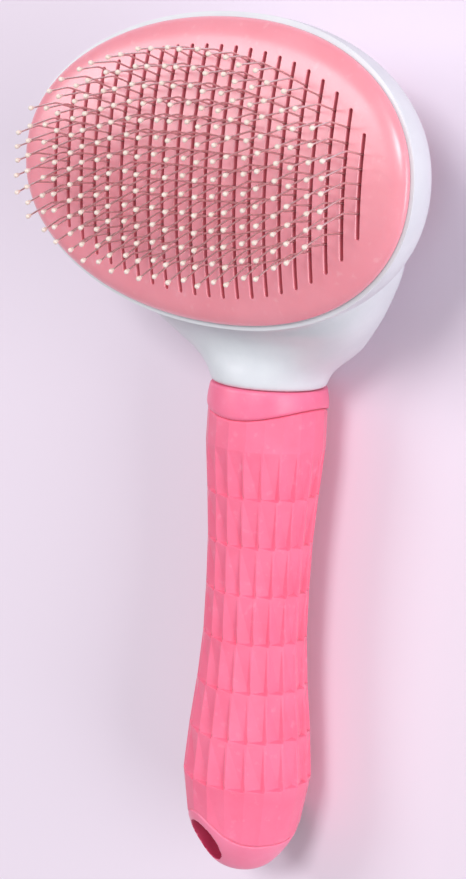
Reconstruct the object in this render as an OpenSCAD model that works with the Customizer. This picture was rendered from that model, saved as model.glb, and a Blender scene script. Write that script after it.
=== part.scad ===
// Slicker brush with a push-button hair release.
// The brush lies on its back: +Z is the way the pins point, +Y runs to the top
// of the head, X is across it. The origin is under the middle of the brush, on
// the surface it lies on.

/* [Overall] */
// Length of the handle, from the neck's end
handle_l = 117.2; // [117.2:0.1:117.6]
// Height of the face plate's crown above the surface
crown_z = 44.3; // [44.1:0.1:44.8]
// Height of the handle's axis above the surface
axis_z = 15.3; // [15.2:0.1:15.8]

/* [Face plate] */
// Width of the face plate across the brush
face_w = 105.6; // [105:0.2:106.2]
// Height of the face plate along the brush
face_h = 65.4; // [65:0.2:66]
// Radius of the face's curve along the brush
dome_r = 107; // [106:1:108]
// Thickness of the face plate
face_t = 2.2; // [1.8:0.1:2.4]
// Number of slots
slots = 22; // [20:2:22]
// Distance between slots
slot_pitch = 4; // [3.9:0.05:4]
// Width of a slot
slot_w = 0.9; // [0.8:0.05:1.1]

/* [Pins] */
// Thickness of the pin wire
wire_d = 0.5; // [0.4:0.05:0.55]
// Lean of a pin towards the top of the head
lean = 4.5; // [0:0.5:6]
// Angle of the bend towards the handle
bend_a = 21.5; // [12:0.5:26]
// Diameter of a ball tip
tip_d = 1.3; // [1.2:0.1:1.6]
// Straight part above the plate, odd slots
str_odd = 6.2; // [5.4:0.1:6.4]
// Bent part, odd slots
bent_odd = 6.2; // [6:0.1:7]
// Straight part above the plate, even slots
str_even = 5.4; // [5:0.1:6]
// Bent part, even slots
bent_even = 7.8; // [7:0.1:8]

/* [Hair release] */
// Travel of the button and the face plate
travel = 8; // [6:0.5:8]
// Half width of the button across the brush
button_a = 24; // [23:0.5:24]
// Half height of the button along the brush
button_b = 15.5; // [15:0.5:15.5]
// Outside diameter of a return spring
spring_d = 8; // [7:0.5:8.5]

/* [Handle] */
// Number of ridges round the grip
ridges = 20; // [16:2:24]
// Number of facet rows
rows = 8; // [7:1:8]
// Depth of a facet's hollow below its ridges
facet_d = 0.7; // [0.3:0.1:0.9]
// Radius of the hanging hole
hang_r = 4.9; // [3:0.1:5]
// Turn of the end cap about the handle's axis
cap_turn = 18; // [0:18:36]

/* [Hidden] */
$fn = 64;

pink = [0.98, 0.66, 0.70];
deep = [0.97, 0.50, 0.62];
white = [0.93, 0.94, 0.95];
steel = [0.62, 0.60, 0.58];

ha = face_w / 2 + 0.8;            // housing's half width at the rim
hb = face_h / 2 + 1.1;            // housing's half height at the rim
total_l = handle_l + 48.1 + hb;   // head top to handle end
hy = total_l / 2 - hb;            // Y of the head's centre
ny = hy - 48.1;                   // Y of the neck's end, where the handle starts
zc = crown_z - dome_r;            // centre of the face's curve
rim_drop = 2.3;                   // rim below the plate's surface
floor_z = 8.7;                    // flat back of the head
e = 2.1;                          // squareness of the head's oval

// signed power
function spow(v, p) = sign(v) * pow(abs(v), p);
// points of a superellipse
function oval(a, b, n = 80, ex = e) = [for (i = [0:n - 1]) let (t = 360 * i / n)
    [a * spow(cos(t), 2 / ex), b * spow(sin(t), 2 / ex)]];
function mix(a, b, t) = a + (b - a) * t;
function clamp(v) = max(0, min(1, v));
function smooth(a, b, t) = let (k = clamp((t - a) / (b - a))) k * k * (3 - 2 * k);
function drop(y) = dome_r - sqrt(dome_r * dome_r - y * y);

// a smooth curve through a short table of [position, value]
function seg(t, s, i = 0) = (i >= len(t) - 2 || s < t[i + 1][0]) ? i : seg(t, s, i + 1);
function slope(t, i) = i <= 0 ? (t[1][1] - t[0][1]) / (t[1][0] - t[0][0])
    : i >= len(t) - 1 ? (t[i][1] - t[i - 1][1]) / (t[i][0] - t[i - 1][0])
    : (t[i + 1][1] - t[i - 1][1]) / (t[i + 1][0] - t[i - 1][0]);
function curve(t, s) = let (i = seg(t, s), h = t[i + 1][0] - t[i][0], k = clamp((s - t[i][0]) / h),
    m0 = slope(t, i) * h, m1 = slope(t, i + 1) * h)
    (2 * k * k * k - 3 * k * k + 1) * t[i][1] + (k * k * k - 2 * k * k + k) * m0
    + (3 * k * k - 2 * k * k * k) * t[i + 1][1] + (k * k * k - k * k) * m1;

// closed skin over rings of equal length, with flat ends
module skin(r) {
    n = len(r[0]);
    m = len(r);
    polyhedron(points = [for (q = r) for (p = q) p],
        faces = concat(
            [[for (j = [n - 1:-1:0]) j]],
            [[for (j = [0:n - 1]) (m - 1) * n + j]],
            [for (i = [0:m - 2]) for (j = [0:n - 1]) let (k = (j + 1) % n)
                [i * n + j, i * n + k, (i + 1) * n + j]],
            [for (i = [0:m - 2]) for (j = [0:n - 1]) let (k = (j + 1) % n)
                [i * n + k, (i + 1) * n + k, (i + 1) * n + j]]));
}

module dome(r) translate([0, hy, zc]) rotate([0, 90, 0]) cylinder(r = r, h = 160, center = true, $fn = 180);
module prism(a, b, z0, z1) translate([0, hy, z0]) linear_extrude(z1 - z0) polygon(oval(a, b));
// a rod along -Y from y0 to y1 on the handle's axis
module rod(r, y0, y1) translate([0, y0, axis_z]) rotate([90, 0, 0]) cylinder(r = r, h = y0 - y1);
// things at the same place on the four quarters of the head
module quarters(x, y) for (i = [-1, 1]) for (j = [-1, 1]) translate([i * x, hy + j * y, 0]) children();

// ---- slots and pins -------------------------------------------------------
slot_a = 45.1;
slot_b = 26.8;
function slot_x(i) = (i - (slots - 1) / 2) * slot_pitch;
function slot_h(i) = slot_b * pow(1 - pow(abs(slot_x(i)) / slot_a, 2.12), 1 / 2.12);
// first and last pin of a slot, measured along the brush from the head's centre
function out2(i) = pow(slot_x(i) / 42, 2);
function pin_top(i) = slot_h(i) - 3.3 - 1.4 * out2(i);
function pin_bot(i) = -slot_h(i) + 7.4 - 2.7 * out2(i);
function pin_n(i) = 1 + round((pin_top(i) - pin_bot(i)) / 3.2);
function pin_y(i, j) = mix(pin_top(i), pin_bot(i), j / (pin_n(i) - 1));
function pin_a(i, j) = asin(pin_y(i, j) / dome_r);
odd_slots = [for (i = [0:2:slots - 1]) i];
even_slots = [for (i = [1:2:slots - 1]) i];
base_r = dome_r - 3.4;            // top of the pin base
pad_r = base_r - 2.5;             // top of the rubber pad
bar_r = pad_r - 1.5 - wire_d / 2; // the staples' crossbars
back_r = pad_r - 2.1;             // top of the backing plate

rise = dome_r - bar_r;            // crossbar to the plate's surface

// local frame of a pin, its Z along the pin and its origin on the crossbar
module at_pin(i, j) translate([slot_x(i), hy, zc]) rotate([-pin_a(i, j), 0, 0])
    translate([0, 0, bar_r]) rotate([-lean, 0, 0]) children();
module bent(l1) translate([0, 0, rise + l1]) rotate([bend_a, 0, 0]) children();

module wire(i, j, l1, l2) at_pin(i, j) {
    translate([0, 0, -wire_d / 2]) cylinder(d = wire_d, h = rise + l1 + wire_d / 2, $fn = 16);
    bent(l1) {
        cylinder(d = wire_d, h = l2, $fn = 16);
        sphere(d = wire_d * 1.12, $fn = 16);
    }
}
// the hidden crossbar of a two-pin staple
module crossbar(i, j) {
    am = (pin_a(i, j) + pin_a(i, j + 1)) / 2;
    da = abs(pin_a(i, j) - pin_a(i, j + 1)) / 2;
    l = 2 * bar_r * sin(da);
    translate([slot_x(i), hy, zc]) rotate([-am, 0, 0]) translate([0, l / 2, bar_r * cos(da)])
        rotate([90, 0, 0]) cylinder(d = wire_d - 0.06, h = l, $fn = 16);
}
module staples(list, l1, l2) for (i = list) {
    for (j = [0:pin_n(i) - 1]) wire(i, j, l1, l2);
    for (j = [0:2:pin_n(i) - 2]) crossbar(i, j);
}
module pin_holes() for (i = [0:slots - 1]) for (j = [0:pin_n(i) - 1])
    at_pin(i, j) cylinder(d = wire_d, h = 6.2, $fn = 16);
module tips(list, l1, l2) for (i = list) for (j = [0:pin_n(i) - 1])
    at_pin(i, j) bent(l1) difference() {
        translate([0, 0, l2]) sphere(d = tip_d, $fn = 24);
        translate([0, 0, l2 - tip_d]) cylinder(d = wire_d, h = tip_d, $fn = 16);
    }

module pin_wires_odd() color(steel) staples(odd_slots, str_odd, bent_odd);
module pin_wires_even() color(steel) staples(even_slots, str_even, bent_even);
module pin_tips() color("ivory") {
    tips(odd_slots, str_odd, bent_odd);
    tips(even_slots, str_even, bent_even);
}

// ---- ejector: plate, frame and button --------------------------------------
post_x = 36;
post_y = 6;
frame_z = 22.6;
frame_t = 2.4;
screw_x = 19.2;
skirt_a = 49;
skirt_b = 30;

module face_plate() color(pink) difference() {
    union() {
        // curved slab with the lip that covers the housing's rim
        intersection() {
            prism(face_w / 2, face_h / 2, 20, 60);
            difference() { dome(dome_r); dome(dome_r - face_t); }
        }
        // skirt that slides inside the housing
        intersection() {
            difference() {
                prism(skirt_a, skirt_b, 20, 60);
                prism(skirt_a - 1.4, skirt_b - 1.4, 19, 61);
            }
            difference() { dome(dome_r - face_t / 2); dome(dome_r - rim_drop - 9.2); }
        }
        // posts with snap ends
        quarters(post_x, post_y) {
            translate([0, 0, frame_z + frame_t]) cylinder(r = 1.25, h = 17.8);
            translate([0, 0, frame_z]) cylinder(r = 0.9, h = frame_t + 0.5);
            translate([0, 0, frame_z - 1.8]) cylinder(r1 = 0.7, r2 = 1.3, h = 1.8);
        }
    }
    for (i = [0:slots - 1]) translate([slot_x(i) - slot_w / 2, hy - slot_h(i), 30])
        cube([slot_w, 2 * slot_h(i), 30]);
}

module ejector_frame() color(white) difference() {
    intersection() {
        prism(41.4, 25, frame_z, frame_z + frame_t);
        translate([-60, hy - 12, 0]) cube([120, 24, 60]);
    }
    quarters(post_x, post_y) cylinder(r = 0.9, h = 60);
    for (i = [-1, 1]) {
        translate([i * 10, hy, 0]) cylinder(d = spring_d + 1.8, h = 60);
        translate([i * screw_x, hy, 0]) cylinder(r = 1.3, h = 60);
        translate([i * screw_x, hy, frame_z + frame_t - 0.9]) cylinder(r = 2.6, h = 5);
    }
}

module push_button() color(pink) difference() {
    union() {
        difference() {
            prism(button_a, button_b, 0, frame_z);
            prism(button_a - 2, button_b - 2, 2.4, frame_z + 1);
        }
        for (i = [-1, 1]) translate([i * screw_x, hy, 0.5]) cylinder(r = 2.6, h = frame_z - 0.5);
    }
    for (i = [-1, 1]) translate([i * screw_x, hy, 10]) cylinder(r = 1.1, h = 20);
}

module button_screws() color(steel) for (i = [-1, 1]) translate([i * screw_x, hy, 0]) difference() {
    union() {
        translate([0, 0, 11]) cylinder(r = 1.1, h = frame_z + frame_t - 11.9);
        translate([0, 0, frame_z + frame_t - 0.9]) cylinder(r = 2.3, h = 1.5);
    }
    for (a = [0, 90]) translate([0, 0, frame_z + frame_t + 0.6]) rotate([0, 0, a]) cube([2.6, 0.6, 1.6], center = true);
}

// one coil spring as a swept tube, closed flat at both ends
spring_w = 0.9;
spring_z0 = 2.4;
spring_z1 = 34.1;
coils = 9;
function spring_h(k) = let (h = spring_z1 - spring_z0 - spring_w, f = clamp((k - 1) / (coils - 2)))
    spring_z0 + spring_w / 2 + (k < 1 ? k * 1.1 : k > coils - 1 ? h - (coils - k) * 1.1 : 1.1 + f * (h - 2.2));
module spring() {
    n = 14;
    sides = 6;
    r = (spring_d - spring_w) / 2;
    skin([for (k = [0:coils * n]) let (a = 360 * k / n, z = spring_h(k / n))
        [for (s = [0:sides - 1]) let (b = 360 * s / sides)
            [(r + spring_w / 2 * cos(b)) * cos(a), (r + spring_w / 2 * cos(b)) * sin(a), z + spring_w / 2 * sin(b)]]]);
}
module return_springs() color(steel) for (i = [-1, 1]) translate([i * 10, hy, 0]) spring();

// ---- pin carrier -----------------------------------------------------------
fix_x = 18;
fix_y = 23.8;
module shell(r0, r1) intersection() {
    prism(47.1, 28.1, 20, 60);
    difference() { dome(r1); dome(r0); }
}
module carrier_holes(r) {
    quarters(post_x, post_y) cylinder(r = 1.5, h = 80);
    quarters(fix_x, fix_y) cylinder(r = r, h = 80);
}
module pin_base() color([0.60, 0.12, 0.25]) difference() {
    shell(pad_r, base_r);
    carrier_holes(1.3);
    quarters(fix_x, fix_y) translate([0, 0, 36.2]) cylinder(r = 2.3, h = 20);
    pin_holes();
}
module pin_pad() color([0.35, 0.35, 0.37]) difference() {
    shell(pad_r - 1.5, pad_r);
    carrier_holes(1.3);
    pin_holes();
}
module backing_plate() color(white) difference() {
    shell(back_r - 1.9, back_r);
    carrier_holes(1.3);
}
module pin_base_screws() color(steel) quarters(fix_x, fix_y) difference() {
    union() {
        translate([0, 0, 22]) cylinder(r = 1.1, h = 14.2);
        translate([0, 0, 36.2]) cylinder(r = 2.1, h = 1.3);
    }
    for (a = [0, 90]) translate([0, 0, 37.5]) rotate([0, 0, a]) cube([2.4, 0.6, 1.4], center = true);
}

// ---- housing ----------------------------------------------------------------
// the bowl: outline scale at each depth below the rim
bowl_s = [[1.5, 1], [4, 0.995], [7, 0.98], [10, 0.952], [14, 0.903], [18, 0.852], [22, 0.8], [27, 0.737], [31, 0.693], [33.3, 0.658]];
function rim_z(t) = crown_z - rim_drop - drop(t);
bowl_d = crown_z - rim_drop - floor_z;
function bowl_ring(d, n = 72) = let (k = curve(bowl_s, d))
    [for (p = oval(ha * k, hb * k, n)) [p[0], hy + p[1],
        crown_z - rim_drop - d * bowl_d / 33.3 - drop(p[1]) * (1 - d / 33.3)]];
// the neck: half width, lowest and highest line, and squareness of its sections
neck_w = [[-48.1, 13.3], [-46, 14], [-43, 16.6], [-38, 23.4], [-32, 29.2], [-26, 32], [-20, 31], [-12, 24]];
neck_lo = [[-48.1, 2], [-42, 3.6], [-34, 5.8], [-26, 8], [-20, 10], [-12, 14]];
neck_hi = [[-48.1, 28.6], [-45, 28.3], [-41, 27.9], [-37, 29.8], [-33, 33.6], [-28, 34.4], [-20, 34], [-12, 31]];
function neck_ring(t, n = 48) = let (w = curve(neck_w, t), lo = curve(neck_lo, t), hi = curve(neck_hi, t),
    m = mix(2, 2.6, smooth(-48, -36, t)))
    [for (i = [0:n - 1]) let (a = -360 * (i + 0.5) / n)
        [w * spow(cos(a), 2 / m), hy + t, (lo + hi) / 2 + (hi - lo) / 2 * spow(sin(a), 2 / m)]];
neck_t = [-48.1, -47.3, -46.2, -45, -43, -41, -39, -37, -34.5, -32, -29, -26, -22.5, -19, -16, -13];

module head_housing() color(white) difference() {
    union() {
        difference() {
            union() {
                intersection() {
                    skin(concat([for (q = [len(bowl_s) - 1:-1:0]) bowl_ring(bowl_s[q][0])],
                        [[for (p = oval(ha, hb, 72)) [p[0], hy + p[1], crown_z + 1]]]));
                    dome(dome_r - rim_drop);
                }
                skin([for (t = neck_t) neck_ring(t)]);
            }
            // space inside the bowl
            prism(35.7, 21.7, 13, 60);
            prism(39.1, 23.8, 18, 60);
            prism(42.1, 25.7, 22.5, 60);
            prism(45.9, 28, 28, 60);
            difference() {
                prism(skirt_a + 0.4, skirt_b + 0.4, 20, 60);
                dome(dome_r - rim_drop - 9.8);
            }
            rod(8, hy - 20, ny + 6.5);
            // seat of the rear cover, and the button's opening
            prism(33.3, 20.3, 0, 10.9);
            prism(25.5, 16.5, 0, 20);
        }
        rod(7.4, ny + 1, ny - 14);
        // columns under the pin carrier
        intersection() {
            quarters(fix_x, fix_y) translate([0, 0, 20]) cylinder(r = 2.6, h = 20);
            dome(back_r - 1.9);
        }
        // bosses for the rear cover's screws, and stops for the ejector
        quarters(27, 8.5) translate([0, 0, 12]) cylinder(r = 2.6, h = 6);
        for (i = [-1, 1]) translate([i * 33, hy, 12]) cylinder(r = 2, h = frame_z - 12.1);
    }
    quarters(fix_x, fix_y) translate([0, 0, 21.5]) cylinder(r = 1.1, h = 30);
    quarters(27, 8.5) cylinder(r = 1.1, h = 17);
    rod(1.7, ny + 10, ny - 20);
}

module rear_cover() color(white) difference() {
    prism(33, 20, floor_z, 10.9);
    prism(button_a + 0.4, button_b + 0.4, 0, 20);
    quarters(27, 8.5) {
        cylinder(r = 1.3, h = 30);
        cylinder(r = 2.3, h = floor_z + 1.2);
    }
}
module rear_cover_screws() color(steel) quarters(27, 8.5) difference() {
    union() {
        translate([0, 0, floor_z + 1.2]) cylinder(r = 1.1, h = 6);
        translate([0, 0, floor_z + 0.1]) cylinder(r = 2.1, h = 1.1);
    }
    for (a = [0, 90]) translate([0, 0, floor_z + 0.1]) rotate([0, 0, a]) cube([2.4, 0.6, 1.2], center = true);
}

// ---- handle -----------------------------------------------------------------
// ridge radius along the handle, from the neck's end
grip_r = [[0, 13.4], [6, 13.7], [14, 13.8], [20, 13.4], [30, 12.5], [42, 12.1], [56, 12.1], [64, 12.4],
          [72, 13.2], [80, 14.1], [88, 14.9], [94, 15.1], [100, 14.5], [105, 13.2], [109, 11.5], [113, 8.7], [115.5, 5.9], [handle_l, 1.6]];
row_0 = 13.8;
row_p = 11.33;
ring_l = 5.8;
cap_s = 101.5;
hang_s = 108.5;                   // hanging hole from the neck's end
function pt(r, a, s) = [r * sin(a), ny - s, axis_z + r * cos(a)];
// facet pattern: ridges run down the grip; in every cell one point of the lower
// edge is pushed in, so the cell breaks into triangles
function grip_ring(s, lower) = let (r = curve(grip_r, s))
    [for (c = [0:ridges - 1]) for (q = [0, 1]) let (w = 360 / ridges, a = w * (c + (q == 0 ? 0 : 0.85)),
        rq = r * cos(w / 2) / cos(w * 0.35))
        q == 0 ? pt(r, a, s) : pt(rq - (lower ? facet_d : 0), a, s)];

module handle_core() color(white) difference() {
    rod(10, ny, ny - 102.4);
    rod(7.4, ny + 1, ny - 14);
    rod(1.5, ny - 13, ny - 27);
    rod(7, ny - 26, ny - 110);
}
module handle_washer() color(steel) difference() {
    rod(4.4, ny + 7.3, ny + 6.5);
    rod(1.7, ny + 8, ny + 6);
}
module handle_screw() color(steel) difference() {
    union() {
        rod(1.5, ny + 7.3, ny - 24);
        rod(2.9, ny + 9.6, ny + 7.3);
    }
    for (a = [0, 90]) translate([0, ny + 9.6, axis_z]) rotate([0, a, 0]) cube([3.6, 2.4, 0.8], center = true);
}
module collar_ring() color(deep) translate([0, ny, axis_z]) rotate([90, 0, 0]) rotate_extrude($fn = 96)
    polygon([[10, 0], [13.1, 0], [13.7, 0.8], [14, 2.4], [14, 4.6], [13.7, ring_l], [10, ring_l]]);

module grip_sleeve() color(deep) difference() {
    skin(concat([grip_ring(ring_l, false), grip_ring(row_0, false)],
        [for (k = [1:rows]) for (q = [0, 1]) let (s = row_0 + k * row_p)
            if (s < cap_s - 1) grip_ring(s - (q == 0 ? 0.8 : 0), q == 0 && k < rows)],
        [grip_ring(cap_s, false)]));
    rod(10, ny + 1, ny - 120);
}

cap_st = [101.5, 103, 105, 107, 109, 111, 112.6, 114, 115.2, 116.2, 116.9, handle_l];
module end_cap() color(deep) difference() {
    union() {
        skin([for (s = cap_st) [for (i = [0:39]) pt(curve(grip_r, s), 360 * i / 40, s)]]);
        rod(7, ny - 92, ny - 104);
    }
    // annular recess that the core's end fills
    difference() {
        rod(10, ny - 100, ny - 102.4);
        rod(7, ny - 90, ny - 110);
    }
    translate([0, ny - hang_s, axis_z]) rotate([0, -cap_turn, 0]) cylinder(r = hang_r, h = 60, center = true);
}

face_plate();
ejector_frame();
push_button();
button_screws();
return_springs();
pin_base();
pin_pad();
backing_plate();
pin_base_screws();
pin_wires_odd();
pin_wires_even();
pin_tips();
head_housing();
rear_cover();
rear_cover_screws();
handle_core();
handle_screw();
handle_washer();
collar_ring();
grip_sleeve();
end_cap();
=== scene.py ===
import math

import bmesh
import bpy
import numpy as np
from mathutils import Matrix, Vector, geometry

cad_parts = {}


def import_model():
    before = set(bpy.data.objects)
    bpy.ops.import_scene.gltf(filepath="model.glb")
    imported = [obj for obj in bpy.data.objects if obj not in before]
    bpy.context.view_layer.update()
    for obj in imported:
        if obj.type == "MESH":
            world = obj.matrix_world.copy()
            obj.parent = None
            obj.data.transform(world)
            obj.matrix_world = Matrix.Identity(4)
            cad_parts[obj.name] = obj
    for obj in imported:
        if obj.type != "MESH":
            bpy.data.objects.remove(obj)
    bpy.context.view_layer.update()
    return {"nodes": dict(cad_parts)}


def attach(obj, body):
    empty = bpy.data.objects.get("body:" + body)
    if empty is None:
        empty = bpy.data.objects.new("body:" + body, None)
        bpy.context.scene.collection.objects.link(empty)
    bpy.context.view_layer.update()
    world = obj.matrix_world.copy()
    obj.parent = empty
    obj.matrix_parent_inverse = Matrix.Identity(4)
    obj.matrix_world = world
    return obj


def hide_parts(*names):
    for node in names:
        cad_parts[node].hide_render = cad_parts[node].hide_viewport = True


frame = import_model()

MM = 0.001
RD = 107.0              # radius of the face's curve
CZ = 44.3               # crown of the face
HY = 65.75              # head centre along the brush
ZC = CZ - RD
NY = HY - 48.1          # neck's end
AX = 15.3               # handle's axis height
FA, FB = 52.8, 32.7     # face plate's half sizes
scene = bpy.context.scene


# ---------------------------------------------------------------- helpers
def srgb(r, g, b):
    f = lambda c: c / 12.92 if c <= 0.04045 else ((c + 0.055) / 1.055) ** 2.4
    return (f(r / 255), f(g / 255), f(b / 255), 1.0)


def spow(v, p):
    return np.sign(v) * np.abs(v) ** p


def oval(a, b, n=160, e=2.1):
    t = 2 * np.pi * np.arange(n) / n
    return np.stack([a * spow(np.cos(t), 2 / e), b * spow(np.sin(t), 2 / e)], 1)


def curve(table, s):
    """A smooth curve through a table of (position, value)."""
    t = table
    i = 0
    while i < len(t) - 2 and s >= t[i + 1][0]:
        i += 1

    def slope(k):
        if k <= 0:
            return (t[1][1] - t[0][1]) / (t[1][0] - t[0][0])
        if k >= len(t) - 1:
            return (t[k][1] - t[k - 1][1]) / (t[k][0] - t[k - 1][0])
        return (t[k + 1][1] - t[k - 1][1]) / (t[k + 1][0] - t[k - 1][0])

    h = t[i + 1][0] - t[i][0]
    k = min(1.0, max(0.0, (s - t[i][0]) / h))
    m0, m1 = slope(i) * h, slope(i + 1) * h
    return ((2 * k**3 - 3 * k**2 + 1) * t[i][1] + (k**3 - 2 * k**2 + k) * m0
            + (3 * k**2 - 2 * k**3) * t[i + 1][1] + (k**3 - k**2) * m1)


def smooth01(a, b, t):
    k = min(1.0, max(0.0, (t - a) / (b - a)))
    return k * k * (3 - 2 * k)


def loft(rings, cap0=True, cap1=True, wrap=False):
    n = len(rings[0])
    m = len(rings)
    verts = [tuple(p) for r in rings for p in r]
    faces = []
    for i in range(m if wrap else m - 1):
        a, b = i * n, ((i + 1) % m) * n
        for j in range(n):
            k = (j + 1) % n
            faces.append((a + j, a + k, b + k, b + j))
    if not wrap:
        if cap0:
            faces.append(tuple(range(n))[::-1])
        if cap1:
            faces.append(tuple((m - 1) * n + j for j in range(n)))
    return verts, faces


def merge(*parts):
    verts, faces = [], []
    for v, f in parts:
        o = len(verts)
        verts += list(v)
        faces += [tuple(i + o for i in q) for q in f]
    return verts, faces


def obj(name, verts, faces, mat=None, angle=35, outward=True):
    me = bpy.data.meshes.new(name)
    me.from_pydata([(v[0] * MM, v[1] * MM, v[2] * MM) for v in verts], [], faces)
    me.update()
    if outward:
        bm = bmesh.new()
        bm.from_mesh(me)
        bmesh.ops.recalc_face_normals(bm, faces=bm.faces)
        bm.to_mesh(me)
        bm.free()
    o = bpy.data.objects.new(name, me)
    scene.collection.objects.link(o)
    if mat:
        me.materials.append(mat)
    shade(o, angle)
    return o


def shade(o, angle=35):
    me = o.data
    me.polygons.foreach_set("use_smooth", [angle > 0] * len(me.polygons))
    if angle > 0:
        me.set_sharp_from_angle(angle=math.radians(angle))
    me.update()


def apply(o):
    """The object's mesh with its modifiers made real."""
    dg = bpy.context.evaluated_depsgraph_get()
    dg.update()
    me = bpy.data.meshes.new_from_object(o.evaluated_get(dg))
    o.modifiers.clear()
    old = o.data
    o.data = me
    bpy.data.meshes.remove(old)
    return o


def remesh(o, size, rounds=4, factor=0.5):
    m = o.modifiers.new("voxels", "REMESH")
    m.mode = "VOXEL"
    m.voxel_size = size * MM
    m.use_smooth_shade = True
    if rounds:
        s = o.modifiers.new("soften", "SMOOTH")
        s.factor = factor
        s.iterations = rounds
    return apply(o)


def cut(o, tool, how="DIFFERENCE"):
    m = o.modifiers.new("cut", "BOOLEAN")
    m.operation = how
    m.solver = "EXACT"
    m.object = tool
    apply(o)
    me = tool.data
    bpy.data.objects.remove(tool)
    bpy.data.meshes.remove(me)
    return o


# -------------------------------------------------------------- materials
def material(name, dark, light, rough=(0.35, 0.5), size=9.0, grain=0.25, bump=0.08, sss=0.0,
             sss_radius=(1.0, 0.4, 0.3), sss_scale=0.002, metallic=0.0, coat=0.0, wear=None, streak=None):
    """Surface with a mottled colour, uneven sheen and a fine grain. size and grain are in mm."""
    m = bpy.data.materials.new(name)
    m.use_nodes = True
    nt = m.node_tree
    b = nt.nodes["Principled BSDF"]
    tc = nt.nodes.new("ShaderNodeTexCoord")
    mp = nt.nodes.new("ShaderNodeMapping")
    mp.inputs["Scale"].default_value = streak or (1, 1, 1)
    nt.links.new(tc.outputs["Object"], mp.inputs["Vector"])
    n1 = nt.nodes.new("ShaderNodeTexNoise")
    n1.inputs["Scale"].default_value = 1000.0 / size
    n1.inputs["Detail"].default_value = 5.0
    n1.inputs["Roughness"].default_value = 0.6
    nt.links.new(mp.outputs["Vector"], n1.inputs["Vector"])
    ramp = nt.nodes.new("ShaderNodeValToRGB")
    ramp.color_ramp.elements[0].position = 0.32
    ramp.color_ramp.elements[0].color = dark
    ramp.color_ramp.elements[1].position = 0.68
    ramp.color_ramp.elements[1].color = light
    nt.links.new(n1.outputs["Fac"], ramp.inputs["Fac"])
    colour = ramp.outputs["Color"]
    if wear:
        # pale scuffs where a fine noise runs high
        n4 = nt.nodes.new("ShaderNodeTexNoise")
        n4.inputs["Scale"].default_value = 1000.0 / 2.2
        n4.inputs["Detail"].default_value = 8.0
        nt.links.new(tc.outputs["Object"], n4.inputs["Vector"])
        r4 = nt.nodes.new("ShaderNodeMapRange")
        r4.inputs["From Min"].default_value = 0.60
        r4.inputs["From Max"].default_value = 0.74
        r4.inputs["To Max"].default_value = 0.35
        nt.links.new(n4.outputs["Fac"], r4.inputs["Value"])
        mix = nt.nodes.new("ShaderNodeMix")
        mix.data_type = "RGBA"
        nt.links.new(r4.outputs["Result"], mix.inputs["Factor"])
        nt.links.new(colour, mix.inputs["A"])
        mix.inputs["B"].default_value = wear
        colour = mix.outputs["Result"]
    nt.links.new(colour, b.inputs["Base Color"])
    n2 = nt.nodes.new("ShaderNodeTexNoise")
    n2.inputs["Scale"].default_value = 1000.0 / (size * 0.45)
    n2.inputs["Detail"].default_value = 7.0
    nt.links.new(mp.outputs["Vector"], n2.inputs["Vector"])
    r2 = nt.nodes.new("ShaderNodeMapRange")
    r2.inputs["From Min"].default_value = 0.3
    r2.inputs["From Max"].default_value = 0.7
    r2.inputs["To Min"].default_value = rough[0]
    r2.inputs["To Max"].default_value = rough[1]
    nt.links.new(n2.outputs["Fac"], r2.inputs["Value"])
    nt.links.new(r2.outputs["Result"], b.inputs["Roughness"])
    n3 = nt.nodes.new("ShaderNodeTexNoise")
    n3.inputs["Scale"].default_value = 1000.0 / grain
    n3.inputs["Detail"].default_value = 3.0
    nt.links.new(mp.outputs["Vector"], n3.inputs["Vector"])
    bp = nt.nodes.new("ShaderNodeBump")
    bp.inputs["Strength"].default_value = bump
    bp.inputs["Distance"].default_value = 0.0002
    nt.links.new(n3.outputs["Fac"], bp.inputs["Height"])
    nt.links.new(bp.outputs["Normal"], b.inputs["Normal"])
    b.inputs["Metallic"].default_value = metallic
    b.inputs["Subsurface Weight"].default_value = sss
    b.inputs["Subsurface Radius"].default_value = sss_radius
    b.inputs["Subsurface Scale"].default_value = sss_scale
    b.inputs["Coat Weight"].default_value = coat
    b.inputs["Coat Roughness"].default_value = 0.25
    return m


plate_m = material("face_plastic", srgb(246, 150, 164), srgb(251, 159, 173), (0.30, 0.42), 14, 0.35, 0.05, sss=0.15, coat=0.8,
                   wear=srgb(255, 190, 200))
button_m = material("button_plastic", srgb(244, 144, 162), srgb(250, 156, 174), (0.34, 0.5), 12, 0.35, 0.06, sss=0.1, coat=0.1,
                    wear=srgb(255, 190, 200))
house_m = material("housing_plastic", srgb(218, 222, 228), srgb(227, 231, 236), (0.3, 0.42), 16, 0.4, 0.05, sss=0.15,
                   sss_radius=(1.0, 0.95, 0.9), coat=0.2, wear=srgb(226, 226, 230))
white_m = material("white_plastic", srgb(226, 226, 228), srgb(238, 238, 240), (0.5, 0.65), 10, 0.3, 0.08)
# the pin carrier's deep raspberry is painted shade: it stands for the dark seen down the face's slots
carrier_slot_shade_m = material("carrier_plastic", srgb(150, 20, 55), srgb(172, 32, 70), (0.45, 0.6), 8, 0.3, 0.08)
grip_m = material("grip_rubber", srgb(248, 113, 147), srgb(254, 123, 157), (0.46, 0.62), 9, 0.22, 0.16, sss=0.12, wear=srgb(255, 160, 188))
collar_m = material("collar_plastic", srgb(247, 116, 152), srgb(252, 128, 163), (0.36, 0.5), 9, 0.3, 0.06, sss=0.12, coat=0.1,
                    wear=srgb(255, 150, 180))
cap_m = material("cap_plastic", srgb(252, 130, 163), srgb(255, 140, 173), (0.36, 0.52), 9, 0.3, 0.07, sss=0.12, coat=0.1,
                 wear=srgb(255, 155, 185))
# darker pink for the hanging hole's bore: painted shade for the shadow inside the hole, the bore is the cap's own
# plastic
bore_shade_m = material("cap_bore_painted_shade", srgb(196, 52, 92), srgb(212, 66, 106), (0.5, 0.65), 6, 0.3, 0.08)
screw_m = material("screw_steel", srgb(176, 176, 180), srgb(205, 205, 208), (0.22, 0.38), 1.5, 0.12, 0.1, metallic=1.0)
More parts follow.
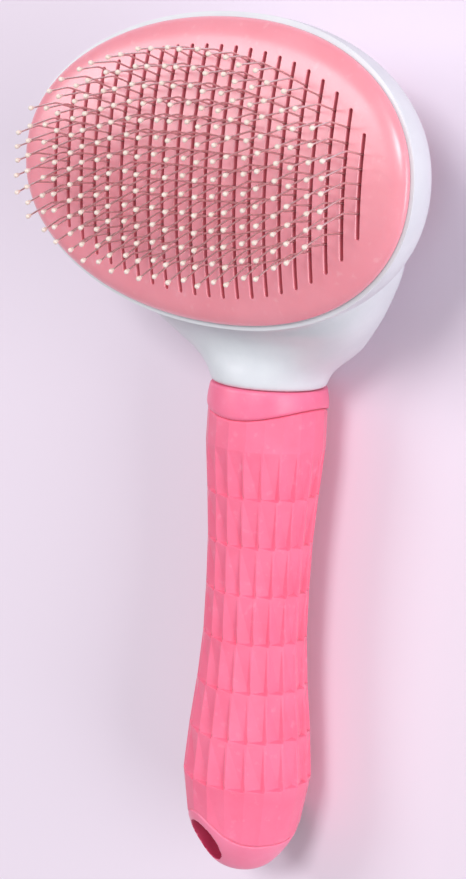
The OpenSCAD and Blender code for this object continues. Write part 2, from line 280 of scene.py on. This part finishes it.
spring_m = material("spring_steel", srgb(150, 150, 152), srgb(185, 185, 186), (0.25, 0.42), 1.2, 0.1, 0.12, metallic=1.0)
pin_m = material("pin_steel", srgb(216, 206, 200), srgb(240, 232, 228), (0.26, 0.40), 1.2, 0.1, 0.10, metallic=1.0)
pad_m = material("pad_rubber", srgb(52, 50, 54), srgb(70, 68, 72), (0.65, 0.85), 4, 0.2, 0.2)
tip_m = material("tip_plastic", srgb(232, 216, 204), srgb(246, 232, 222), (0.22, 0.36), 1.0, 0.15, 0.04, sss=0.25,
                 sss_radius=(1.0, 0.8, 0.6), sss_scale=0.0006, coat=0.3)

SLOT_OF = {
    "ejector_frame": ("white_plastic", white_m), "button_screws": ("screw_steel", screw_m),
    "return_springs": ("spring_steel", spring_m), "pin_base": ("carrier_plastic", carrier_slot_shade_m),
    "pin_pad": ("pad_rubber", pad_m), "backing_plate": ("white_plastic", white_m),
    "pin_base_screws": ("screw_steel", screw_m), "rear_cover_screws": ("screw_steel", screw_m),
    "handle_core": ("white_plastic", white_m), "handle_screw": ("screw_steel", screw_m),
    "handle_washer": ("screw_steel", screw_m), "rear_cover": ("housing_plastic", house_m),
    "face_plate": ("face_plastic", plate_m), "push_button": ("button_plastic", button_m),
    "head_housing": ("housing_plastic", house_m), "collar_ring": ("collar_plastic", collar_m),
    "grip_sleeve": ("grip_rubber", grip_m), "end_cap": ("cap_plastic", cap_m),
    "pin_wires_odd": ("pin_steel", pin_m), "pin_wires_even": ("pin_steel", pin_m), "pin_tips": ("tip_plastic", tip_m),
}
for name, o in frame["nodes"].items():
    if name in SLOT_OF:
        o.data.materials.clear()
        o.data.materials.append(SLOT_OF[name][1])


def stands_for(o, node, body):
    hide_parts(node)
    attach(o, body)
    return o


b = grip_m.node_tree.nodes["Principled BSDF"]
b.inputs["Sheen Weight"].default_value = 0.3
b.inputs["Sheen Roughness"].default_value = 0.35

# -------------------------------------------------------------- face plate
SLOTS = 22
PITCH = 4.0


def slot_x(i):
    return (i - (SLOTS - 1) / 2) * PITCH


def slot_h(i):
    return 26.8 * (1 - (abs(slot_x(i)) / 45.1) ** 2.12) ** (1 / 2.12)


def slot_loop(i, grow):
    """Outline of a slot with round ends; grow widens it."""
    w, h, x = 0.45 + grow, slot_h(i) + grow, slot_x(i)
    top = h - w
    steps = max(4, int(round(2 * top / 2.0)))
    ys = np.linspace(-top, top, steps + 1)
    pts = [(x + w, y) for y in ys]
    pts += [(x + w * math.cos(a), top + w * math.sin(a)) for a in np.linspace(0, math.pi, 7)[1:-1]]
    pts += [(x - w, y) for y in ys[::-1]]
    pts += [(x + w * math.cos(a), -top + w * math.sin(a)) for a in np.linspace(math.pi, 2 * math.pi, 7)[1:-1]]
    return pts


def dome_z(y, r=RD):
    return ZC + math.sqrt(r * r - y * y)


def plate():
    verts, faces = [], []

    def add(loop, drop):
        """drop is the depth below the face's surface, or a function of (x, y)."""
        ids = []
        for x, y in loop:
            z = dome_z(y) - (drop(x, y) if callable(drop) else drop)
            ids.append(len(verts))
            verts.append((x, HY + y, z))
        return ids

    def bridge(a, b):
        n = len(a)
        for j in range(n):
            k = (j + 1) % n
            faces.append((a[j], a[k], b[k], b[j]))

    n = 160
    insets = [4.6, 3.7, 2.85, 2.1, 1.4, 0.85, 0.42, 0.14, 0.0]
    fall = lambda d: 1.75 * (1 - math.sqrt(max(0.0, 1 - (1 - d / 4.6) ** 2)))
    loops = [add(oval(FA - d, FB - d, n), fall(d)) for d in insets]
    for a, b in zip(loops, loops[1:]):
        bridge(a, b)
    side = [add(oval(FA, FB, n), 2.0), add(oval(FA - 0.06, FB - 0.06, n), 2.14), add(oval(FA - 0.2, FB - 0.2, n), 2.2),
            add(oval(49.12, 30.12, n), 2.2)]
    # the skirt, from the underside down to its edge and up inside
    low = lambda x, y: dome_z(y) - dome_z(y, 95.5)
    skirt = [add(oval(49.0, 30.0, n), 2.35), add(oval(49.0, 30.0, n), lambda x, y: low(x, y) * 0.5),
             add(oval(49.0, 30.0, n), lambda x, y: low(x, y) - 0.15), add(oval(48.85, 29.85, n), low),
             add(oval(47.75, 28.75, n), low), add(oval(47.6, 28.6, n), lambda x, y: low(x, y) - 0.15),
             add(oval(47.6, 28.6, n), lambda x, y: low(x, y) * 0.5), add(oval(47.6, 28.6, n), 2.2)]
    chain = [loops[-1]] + side + skirt
    for a, b in zip(chain, chain[1:]):
        bridge(a, b)

    slot_top = [slot_loop(i, 0.13) for i in range(SLOTS)]
    slot_in = [slot_loop(i, 0.0) for i in range(SLOTS)]

    def sheet(outer_loop, outer_ids, depth, slot_loops, flip, limit):
        pts = [Vector((float(x), float(y))) for x, y in outer_loop]
        ids = list(outer_ids)
        edges = [(j, (j + 1) % len(pts)) for j in range(len(pts))]
        slot_ids = []
        for lp in slot_loops:
            s0 = len(pts)
            here = add(lp, depth)
            slot_ids.append(here)
            for p, q in zip(lp, here):
                pts.append(Vector((float(p[0]), float(p[1]))))
                ids.append(q)
            m = len(lp)
            edges += [(s0 + j, s0 + (j + 1) % m) for j in range(m)]
        # points in the solid band round the slots
        extra = []
        for gx in np.arange(-50, 50.1, 2.0):
            for gy in np.arange(-32, 32.1, 2.0):
                if (abs(gx) / limit[0]) ** 2.1 + (abs(gy) / limit[1]) ** 2.1 > 0.96:
                    continue
                k = int(round(gx / PITCH + (SLOTS - 1) / 2))
                if any(0 <= q < SLOTS and abs(gx - slot_x(q)) < 1.9 and abs(gy) < slot_h(q) + 1.0 for q in (k - 1, k, k + 1)):
                    continue
                if 0 <= k < SLOTS and abs(gx) < slot_x(SLOTS - 1) and abs(gy) < slot_h(k):
                    continue
                extra.append((gx, gy))
        here = add(extra, depth)
        for p, q in zip(extra, here):
            pts.append(Vector((float(p[0]), float(p[1]))))
            ids.append(q)
        out = geometry.delaunay_2d_cdt(pts, edges, [], 0, 1e-6)
        where = [o[0] if o else -1 for o in out[3]]
        for f in out[2]:
            src = [where[v] for v in f]
            if -1 in src:
                continue
            cx = sum(pts[v][0] for v in src) / 3
            cy = sum(pts[v][1] for v in src) / 3
            k = int(round(cx / PITCH + (SLOTS - 1) / 2))
            inside = False
            if 0 <= k < SLOTS:
                w = max(abs(p[0] - slot_x(k)) for p in slot_loops[k])
                h = max(abs(p[1]) for p in slot_loops[k])
                dx, dy = abs(cx - slot_x(k)), abs(cy)
                inside = dx < w and (dy < h - w or (dx * dx + (dy - h + w) ** 2) < w * w)
            if inside:
                continue
            tri = [ids[v] for v in src]
            faces.append(tuple(tri[::-1] if flip else tri))
        return slot_ids

    top_ids = sheet(oval(FA - 4.6, FB - 4.6, n), loops[0], 0.0, slot_top, False, (FA - 4.6, FB - 4.6))
    low_ids = sheet(oval(47.6, 28.6, n), skirt[-1], 2.2, slot_in, True, (47.6, 28.6))
    for i in range(SLOTS):
        ring = [top_ids[i], add(slot_in[i], 0.14), low_ids[i]]
        bridge(ring[0], ring[1])
        bridge(ring[1], ring[2])
    v, f = verts, faces
    # posts with snap ends
    for sx in (-36, 36):
        for sy in (-6, 6):
            prof = [(0.0, 20.85), (0.7, 20.85), (1.3, 22.5), (0.9, 22.6), (0.9, 25.0), (1.1, 25.05), (1.25, 25.25), (1.25, 42.4), (0.0, 42.4)]
            rings = [[(sx + r * math.cos(t), HY + sy + r * math.sin(t), z) for t in np.linspace(0, 2 * math.pi, 17)[:-1]]
                     for r, z in prof[1:-1]]
            v, f = merge((v, f), loft(rings))
    o = obj("face_plate_shell", v, f, plate_m, 40)
    return stands_for(o, "face_plate", "ejector")


plate()

# ------------------------------------------------------------------- pins
LEAN, BEND = 4.5, 21.5
BAR = RD - 3.4 - 2.5 - 1.5 - 0.25
RISE = RD - BAR
rng = np.random.RandomState(11)


def pin_ys(i):
    out = (slot_x(i) / 42) ** 2
    top = slot_h(i) - 3.3 - 1.4 * out
    bot = -slot_h(i) + 7.4 - 2.7 * out
    n = 1 + int(math.floor((top - bot) / 3.2 + 0.5))
    return [top + (bot - top) * j / (n - 1) for j in range(n)]


def pin_points(i, y, l1, l2):
    """(foot on the crossbar, bend, tip) in mm, each pin a hair different."""
    a = math.asin(y / RD)
    o = np.array([slot_x(i), HY + BAR * math.sin(a), ZC + BAR * math.cos(a)])
    u = a + math.radians(LEAN + rng.uniform(-0.5, 0.5))
    e = o + np.array([0, math.sin(u), math.cos(u)]) * (RISE + l1)
    w = a + math.radians(LEAN - BEND + rng.uniform(-1.8, 1.8))
    side = math.radians(rng.uniform(-1.6, 1.6))
    t = e + np.array([math.sin(side), math.sin(w) * math.cos(side), math.cos(w) * math.cos(side)]) * (l2 + rng.uniform(-0.1, 0.1))
    return o, e, t


def rounded(points, radii, steps=5):
    """A polyline with its inner corners rounded."""
    out = [points[0]]
    for k in range(1, len(points) - 1):
        p, a, b = points[k], points[k - 1], points[k + 1]
        r = radii[k - 1]
        u = (a - p) / np.linalg.norm(a - p)
        v = (b - p) / np.linalg.norm(b - p)
        s, e = p + u * r, p + v * r
        for t in np.linspace(0, 1, steps):
            out.append((1 - t) ** 2 * s + 2 * t * (1 - t) * p + t * t * e)
    out.append(points[-1])
    return out


def tube(path, r, sides=10):
    path = [np.array(p, float) for p in path]
    n = len(path)
    tan = []
    for k in range(n):
        d = path[min(k + 1, n - 1)] - path[max(k - 1, 0)]
        tan.append(d / np.linalg.norm(d))
    u = np.cross(tan[0], [1.0, 0, 0])
    if np.linalg.norm(u) < 1e-3:
        u = np.cross(tan[0], [0, 1.0, 0])
    u /= np.linalg.norm(u)
    rings = []
    for k in range(n):
        u = u - tan[k] * np.dot(u, tan[k])
        u /= np.linalg.norm(u)
        v = np.cross(tan[k], u)
        rings.append([path[k] + r * (math.cos(t) * u + math.sin(t) * v) for t in np.linspace(0, 2 * math.pi, sides + 1)[:-1]])
    return loft(rings)


def turned(o, axis, prof, sides=18):
    """A turned shape: prof is (distance along the axis, radius), first and last at radius 0."""
    axis = axis / np.linalg.norm(axis)
    u = np.cross(axis, [1.0, 0, 0])
    u /= np.linalg.norm(u)
    v = np.cross(axis, u)
    verts = [tuple(o + axis * prof[0][0])]
    faces = []
    for z, r in prof[1:-1]:
        for t in np.linspace(0, 2 * math.pi, sides + 1)[:-1]:
            verts.append(tuple(o + axis * z + r * (math.cos(t) * u + math.sin(t) * v)))
    verts.append(tuple(o + axis * prof[-1][0]))
    m = len(prof) - 2
    for j in range(sides):
        k = (j + 1) % sides
        faces.append((0, 1 + k, 1 + j))
        for i in range(m - 1):
            faces.append((1 + i * sides + j, 1 + i * sides + k, 1 + (i + 1) * sides + k, 1 + (i + 1) * sides + j))
        faces.append((1 + (m - 1) * sides + j, 1 + (m - 1) * sides + k, len(verts) - 1))
    return verts, faces


def pins():
    wires = {0: ([], []), 1: ([], [])}
    balls = ([], [])
    tr = 0.55
    prof = [(-0.92, 0.0), (-0.90, 0.26), (-0.77, 0.31), (-0.62, 0.38), (-0.48, 0.45)]
    prof += [(-tr * math.cos(a), tr * math.sin(a)) for a in np.radians([50, 66, 82, 98, 114, 130, 146, 164])] + [(tr, 0.0)]
    prof = [prof[0]] + sorted(prof[1:-1]) + [prof[-1]]
    for i in range(SLOTS):
        l1, l2 = (6.2, 6.2) if i % 2 == 0 else (5.4, 7.8)
        ends = [pin_points(i, y, l1, l2) for y in pin_ys(i)]
        j = 0
        while j < len(ends):
            o, e, t = ends[j]
            if j + 1 < len(ends):
                o2, e2, t2 = ends[j + 1]
                path = rounded([t, e, o, o2, e2, t2], [1.1, 0.55, 0.55, 1.1])
            else:
                path = rounded([t, e, o], [1.1])
            v, f = tube(path, 0.205)
            wv, wf = wires[i % 2]
            base = len(wv)
            wv += v
            wf += [tuple(q + base for q in face) for face in f]
            j += 2
        for o, e, t in ends:
            v, f = turned(t, t - e, prof)
            base = len(balls[0])
            balls[0].extend(v)
            balls[1].extend([tuple(q + base for q in face) for face in f])
    a = obj("pin_wires_odd_bent", *wires[0], pin_m, 60)
    stands_for(a, "pin_wires_odd", "body")
    b = obj("pin_wires_even_bent", *wires[1], pin_m, 60)
    stands_for(b, "pin_wires_even", "body")
    c = obj("pin_tips_dipped", *balls, tip_m, 60)
    stands_for(c, "pin_tips", "body")


pins()

# ---------------------------------------------------------------- housing
HA, HB = FA + 0.8, FB + 1.1
BOWL = [(1.5, 1), (4, 0.995), (7, 0.98), (10, 0.952), (14, 0.903), (18, 0.852), (22, 0.8), (27, 0.737), (31, 0.693), (33.3, 0.658)]
NECK_W = [(-48.1, 13.3), (-46, 14), (-43, 16.6), (-38, 23.4), (-32, 29.4), (-26, 33.4), (-18, 37.4), (-12, 38), (-8, 37)]
NECK_LO = [(-48.1, 2), (-42, 3.6), (-34, 5.8), (-24, 8), (-16, 10.4), (-8, 13.5)]
NECK_HI = [(-48.1, 28.6), (-45, 28.3), (-41, 27.9), (-37, 29.8), (-33, 33.6), (-28, 34.4), (-16, 34.4), (-8, 32)]


def block(a, b, z0, z1, n=160, name="tool"):
    rings = [[(x, HY + y, z) for x, y in oval(a, b, n)] for z in (z0, z1)]
    return obj(name, *loft(rings), None, 0)


def housing():
    n = 160
    rings = []
    for d in list(np.linspace(33.3, 31, 3)) + list(np.linspace(30, 1.5, 26)):
        k = curve(BOWL, d)
        rings.append([(x, HY + y, CZ - 2.3 - d - (RD - math.sqrt(RD * RD - y * y)) * (1 - d / 33.3)) for x, y in oval(HA * k, HB * k, n)])
    rings.append([(x, HY + y, CZ + 1.0) for x, y in oval(HA, HB, n)])
    bowl = loft(rings)
    rings = []
    for t in list(np.linspace(-48.1, -44, 8)) + list(np.linspace(-43, -8, 28)):
        w, lo, hi = curve(NECK_W, t), curve(NECK_LO, t), curve(NECK_HI, t)
        m = 2 + 0.6 * smooth01(-48, -36, t)
        a = 2 * np.pi * (np.arange(96) + 0.5) / 96
        rings.append(np.stack([w * spow(np.cos(a), 2 / m), np.full(96, HY + t), (lo + hi) / 2 + (hi - lo) / 2 * spow(np.sin(a), 2 / m)], 1))
    neck = loft(rings)
    o = obj("head_housing_shell", *merge(bowl, neck), house_m, 0)
    remesh(o, 0.7, 12)
    # the rim, cut crisp along the face's curve
    y = np.linspace(-70, 50, 241)
    r = RD - 2.3
    prof = [(q, ZC + math.sqrt(r * r - q * q)) for q in y] + [(50, -30), (-70, -30)]
    rings = [[(x, HY + a, b) for a, b in prof] for x in (-80, 80)]
    cut(o, obj("tool", *loft(rings), None, 0), "INTERSECT")
    # hollow, in steps as its cores leave it
    n = 160
    st = [(35.7, 21.7, 13), (35.7, 21.7, 18), (39.1, 23.8, 18), (39.1, 23.8, 22.5), (42.1, 25.7, 22.5), (42.1, 25.7, 28), (45.9, 28, 28)]
    rings = [[(x, HY + q, z) for x, q in oval(a, b, n)] for a, b, z in st]
    rings += [[(x, HY + q, dome_z(q, 94.9)) for x, q in oval(a, b, n)] for a, b in ((45.9, 28), (49.4, 30.4))]
    rings.append([(x, HY + q, 60) for x, q in oval(49.4, 30.4, n)])
    cut(o, obj("tool", *loft(rings), None, 0))
    cut(o, block(33.3, 20.3, -5, 10.9))
    cut(o, block(25.5, 16.5, -5, 20))
    o.data.materials.clear()
    o.data.materials.append(house_m)
    shade(o, 38)
    return stands_for(o, "head_housing", "body")


housing()


def rear_cover():
    def ring(a, b, z):
        return [(x, HY + y, z) for x, y in oval(a, b, 160)]
    rings = [ring(33, 20, 10.9), ring(33, 20, 9.1), ring(32.85, 19.85, 8.82), ring(32.5, 19.5, 8.7),
             ring(24.9, 16.4, 8.7), ring(24.55, 16.05, 8.82), ring(24.4, 15.9, 9.1), ring(24.4, 15.9, 10.9)]
    v, f = loft(rings, wrap=True)
    o = obj("rear_cover_panel", v, f, house_m, 0)
    for sx in (-27, 27):
        for sy in (-8.5, 8.5):
            prof = [(1.3, 12.0), (1.3, 9.9), (2.3, 9.9), (2.3, 9.0), (2.6, 8.0)]
            rr = [[(sx + r * math.cos(t), HY + sy + r * math.sin(t), z) for t in np.linspace(0, 2 * math.pi, 33)[:-1]] for r, z in prof]
            cut(o, obj("tool", *loft(rr), None, 0))
    shade(o, 35)
    stands_for(o, "rear_cover", "body")


rear_cover()


def button():
    n = 120

    def ring(a, b, z):
        return [(x, HY + y, z) for x, y in oval(a, b, n)]
    rings = []
    # thumb dish in the middle of the flat face, flat land round it, rounded edge, side, rim and hollow
    for k in np.linspace(0.08, 1.0, 9):
        rings.append(ring(15.5 * k, 8.6 * k, 0.9 * (1 - k * k)))
    rings.append(ring(15.9, 9.0, 0.0))
    rings.append(ring(22.4, 13.9, 0.0))
    for a in np.radians([15, 30, 45, 60, 75, 90]):
        rings.append(ring(22.4 + 1.6 * math.sin(a), 13.9 + 1.6 * math.sin(a), 1.6 * (1 - math.cos(a))))
    rings += [ring(24, 15.5, 8.0), ring(24, 15.5, 22.3), ring(23.85, 15.35, 22.6), ring(22.15, 13.65, 22.6), ring(22, 13.5, 22.4), ring(22, 13.5, 3.4),
              ring(21.6, 13.1, 2.6), ring(20.8, 12.3, 2.4)]
    v, f = loft(rings)
    parts = [(v, f)]
    for sx in (-19.2, 19.2):
        prof = [(2.6, 2.0), (2.6, 22.4), (2.45, 22.6), (1.15, 22.6), (1.1, 22.4), (1.1, 10.0)]
        rr = [[(sx + r * math.cos(t), HY + r * math.sin(t), z) for t in np.linspace(0, 2 * math.pi, 25)[:-1]] for r, z in prof]
        parts.append(loft(rr))
    o = obj("push_button_cap", *merge(*parts), button_m, 40)
    stands_for(o, "push_button", "ejector")


button()

# ----------------------------------------------------------------- handle
HANDLE_L = 117.2
GRIP = [(0, 13.4), (6, 13.7), (14, 13.8), (20, 13.4), (30, 12.5), (42, 12.1), (56, 12.1), (64, 12.4), (72, 13.2), (80, 14.1), (88, 14.9),
        (94, 15.1), (100, 14.5), (105, 13.2), (109, 11.5), (113, 8.7), (115.5, 5.9), (HANDLE_L, 1.6)]
ROW0, ROWP, RIDGES, FACET = 13.8, 11.33, 20, 1.15
CAP_TURN = 18.0


def pt(r, a, s):
    return (r * math.sin(a), NY - s, AX + r * math.cos(a))


def front_seam(a):
    """The grip's end under the collar: long at the front, short at the sides."""
    return 5.7 + 1.5 * math.cos(2 * a)


def hole_near(a):
    """1 at the hanging hole's mouths, 0 away from them."""
    best = 0.0
    for c in (-CAP_TURN, 180 - CAP_TURN):
        d = (math.degrees(a) - c + 180) % 360 - 180
        best = max(best, math.exp(-((d / 34.0) ** 2)))
    return best


def cap_seam(a):
    return 107.4 - 6.6 * hole_near(a)


def collar():
    n = 128
    rings = []
    #  (share of the ring's length, radius); outside from the neck's end to the grip, then back inside
    prof = [(0.0, 13.0), (0.015, 13.25), (0.05, 13.42), (0.12, 13.52), (0.3, 13.7), (0.5, 13.86), (0.7, 13.95), (0.84, 13.98), (0.92, 13.9), (0.965, 13.72),
            (0.99, 13.45), (1.0, 13.1), (1.0, 10.05), (0.0, 10.05)]
    for u, r in prof:
        rings.append([pt(r, 2 * math.pi * j / n, 0.02 + u * (front_seam(2 * math.pi * j / n) - 0.12)) for j in range(n)])
    v, f = loft(rings, wrap=True)
    o = obj("collar_ring_moulded", v, f, collar_m, 42)
    stands_for(o, "collar_ring", "body")


collar()


def grip():
    rings = []
    cols = [(c, q) for c in range(RIDGES) for q in (0, 1)]
    w = 2 * math.pi / RIDGES

    def ring(s_of, lower=False, shrink=0.0):
        out = []
        for c, q in cols:
            a = w * (c + (0 if q == 0 else 0.85))
            s = s_of(a) if callable(s_of) else s_of
            r = curve(GRIP, min(s, 112)) - shrink
            if q:
                r = r * math.cos(w / 2) / math.cos(w * 0.35) - (FACET if lower else 0.0)
            out.append(pt(r, a, s))
        return out

    rings.append(ring(front_seam, shrink=0.45))
    rings.append(ring(lambda a: front_seam(a) + 0.12, shrink=0.15))
    rings.append(ring(lambda a: front_seam(a) + 0.4))
    rings.append(ring(ROW0))
    for k in range(1, 8):
        s = ROW0 + k * ROWP
        if s < 99:
            rings.append(ring(s - 0.55, True))
            rings.append(ring(s))
    last = lambda a, back=0.0: cap_seam(a) - back
    rings.append(ring(lambda a: last(a, 0.45)))
    rings.append(ring(lambda a: last(a, 0.16), shrink=0.12))
    rings.append(ring(lambda a: last(a, 0.05), shrink=0.4))
    # close over the core
    inner = [[pt(10.05, w * (c + (0 if q == 0 else 0.85)), s(w * (c + (0 if q == 0 else 0.85)))) for c, q in cols]
             for s in (lambda a: min(last(a, 0.05), 103.8), front_seam)]
    v, f = loft(rings + inner, wrap=True)
    o = obj("grip_sleeve_faceted", v, f, grip_m, 0)
    bm = bmesh.new()
    bm.from_mesh(o.data)
    # non-flat cells break into two triangles along their ridge
    bmesh.ops.triangulate(bm, faces=[g for g in bm.faces if len(g.verts) == 4], quad_method="FIXED")
    bm.to_mesh(o.data)
    bm.free()
    b = o.modifiers.new("soft_edges", "BEVEL")
    b.width = 0.1 * MM
    b.segments = 2
    b.limit_method = "ANGLE"
    b.angle_limit = math.radians(4.5)
    b.harden_normals = True
    apply(o)
    stands_for(o, "grip_sleeve", "body")


grip()


def end_cap():
    n = 160
    rings = []
    share = [0.0, 0.06, 0.14, 0.24, 0.34, 0.44, 0.54, 0.63, 0.72, 0.8, 0.86, 0.91, 0.95, 0.98, 1.0]
    for u in share:
        row = []
        for j in range(n):
            a = 2 * math.pi * j / n
            s0 = cap_seam(a) + 0.05
            s = s0 + (HANDLE_L - s0) * u
            row.append(pt(max(0.6, curve(GRIP, s) - 0.05), a, s))
        rings.append(row)
    tongue = []
    for back, deep in ((1.6, 1.1), (0.02, 1.1)):
        tongue.append([pt(curve(GRIP, cap_seam(2 * math.pi * j / n) - back) - deep, 2 * math.pi * j / n, cap_seam(2 * math.pi * j / n) - back)
                       for j in range(n)])
    v, f = loft(tongue + rings)
    o = obj("end_cap_moulded", v, f, cap_m, 0)
    # plug that the core's end takes
    rr = [[pt(r, 2 * math.pi * j / 64, s) for j in range(64)] for s, r in ((92, 6.4), (92.6, 7.0), (106, 7.0))]
    q = obj("tool", *loft(rr), None, 0)
    cut(o, q, "UNION")
    ca = math.radians(-CAP_TURN)
    ax = np.array([math.sin(ca), 0, math.cos(ca)])
    ux = np.array([math.cos(ca), 0, -math.sin(ca)])
    uy = np.array([0, 1.0, 0])
    c0 = np.array([0, NY - 108.5, AX])
    rr = [[tuple(c0 + ax * z + 5.05 * (math.cos(t) * ux + math.sin(t) * uy)) for t in np.linspace(0, 2 * math.pi, 65)[:-1]] for z in (-30, 30)]
    cut(o, obj("tool", *loft(rr), None, 0))
    remesh(o, 0.28, 3)
    o.data.materials.clear()
    o.data.materials.append(cap_m)
    o.data.materials.append(bore_shade_m)
    # faces lining the hanging hole take the darker bore colour, painted shade for the hole's dark inside
    for p in o.data.polygons:
        d = np.array(p.center) / MM - c0
        off = d - ax * np.dot(d, ax)
        if np.linalg.norm(off) < 5.2 and abs(np.dot(np.array(p.normal), ax)) < 0.55:
            p.material_index = 1
    shade(o, 60)
    stands_for(o, "end_cap", "body")


end_cap()

# ------------------------------------------------------------ studio set
floor_m = bpy.data.materials.new("floor_paper")
floor_m.use_nodes = True
floor_m.node_tree.nodes["Principled BSDF"].inputs["Base Color"].default_value = srgb(238, 226, 240)
floor_m.node_tree.nodes["Principled BSDF"].inputs["Roughness"].default_value = 0.95
floor_m.node_tree.nodes["Principled BSDF"].inputs["Specular IOR Level"].default_value = 0.1
S = 4.0
fm = bpy.data.meshes.new("floor")
fm.from_pydata([(-S, -S, 0), (S, -S, 0), (S, S, 0), (-S, S, 0)], [], [(0, 1, 2, 3)])
floor = bpy.data.objects.new("floor", fm)
scene.collection.objects.link(floor)
fm.materials.append(floor_m)

world = bpy.data.worlds.new("studio")
scene.world = world
world.use_nodes = True
world.node_tree.nodes["Background"].inputs["Color"].default_value = (0.96, 0.95, 1.0, 1.0)
world.node_tree.nodes["Background"].inputs["Strength"].default_value = 0.28


def softbox(name, pos, aim, size, power, colour=(1, 1, 1), only=None):
    data = bpy.data.lights.new(name, "AREA")
    data.shape = "RECTANGLE"
    data.size, data.size_y = size
    data.energy = power
    data.color = colour
    o = bpy.data.objects.new(name, data)
    scene.collection.objects.link(o)
    p, a = Vector(pos), Vector(aim)
    o.location = p
    o.rotation_mode = "QUATERNION"
    o.rotation_quaternion = (a - p).to_track_quat("-Z", "Y")
    return o


softbox("key_top", (0.57, 1.42, 3.19), (0, 0.0, 0.02), (1.0, 1.0), 51.0, (1.0, 0.99, 0.99))
softbox("sheen_left", (-0.86, 0.44, 1.08), (0, 0.05, 0.03), (0.55, 0.55), 6.0, (1.0, 0.99, 1.0))
softbox("fill_right", (1.90, 0.05, 0.75), (0, 0.0, 0.03), (1.5, 0.8), 24.0, (1.0, 0.99, 1.0))

cam_data = bpy.data.cameras.new("camera")
cam = bpy.data.objects.new("camera", cam_data)
scene.collection.objects.link(cam)
cam_data.sensor_fit = "AUTO"
cam_data.sensor_width = 36.0
cam_data.lens = 1942.947 * 36.0 / 879.0
cam_data.clip_start = 0.01
cam_data.clip_end = 20.0
rows = [(0.774722, 0.052757, -0.630097), (-0.157671, 0.981153, -0.111711), (0.612328, 0.185893, 0.768439)]
m = Matrix([[rows[0][k], rows[1][k], rows[2][k], 0.0] for k in range(3)] + [[0, 0, 0, 1]])
m.translation = Vector((0.267160, 0.021290 + HY * MM, 0.318389 + CZ * MM))
cam.matrix_world = m
scene.camera = cam
scene.view_settings.view_transform = "Standard"
